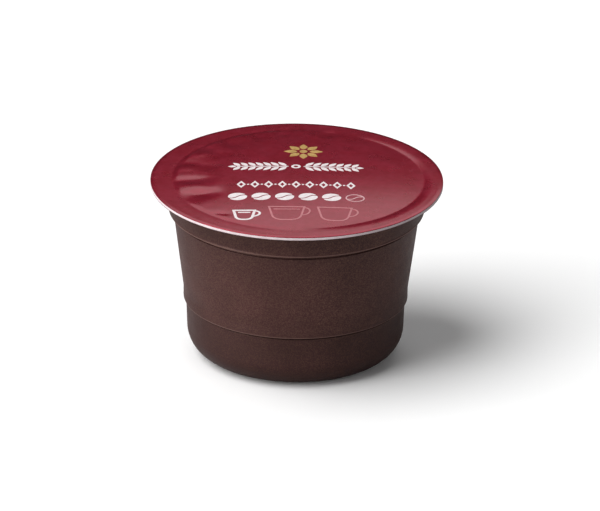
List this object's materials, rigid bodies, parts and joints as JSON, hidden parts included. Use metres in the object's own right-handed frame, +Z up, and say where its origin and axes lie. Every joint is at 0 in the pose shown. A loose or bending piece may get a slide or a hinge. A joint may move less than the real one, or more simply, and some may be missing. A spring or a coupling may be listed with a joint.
{
  "type": "coffee capsule",
  "caption": "Sealed single-serve coffee capsule: a dark brown tapering plastic cup with stepped bands and a wide flange, closed by a lacquered red foil lid.",
  "frame": {"origin": "centre of the base's standing ring, on the ground plane", "axes": "+Z up through the foil lid; -Y is the side from which the lid's marks are seen upright; +X to the right of that"},
  "size_m": [0.046, 0.046, 0.0291],
  "materials": {
    "brown_plastic": "dark brown thermoformed plastic with a fine metallic fleck and a soft sheen",
    "red_foil": "aluminium foil under a deep red translucent lacquer, half glossy, lightly puckered"
  },
  "bodies": {
    "root": {"cup": "brown_plastic", "foil_lid": "red_foil"}
  },
  "joints": []
}
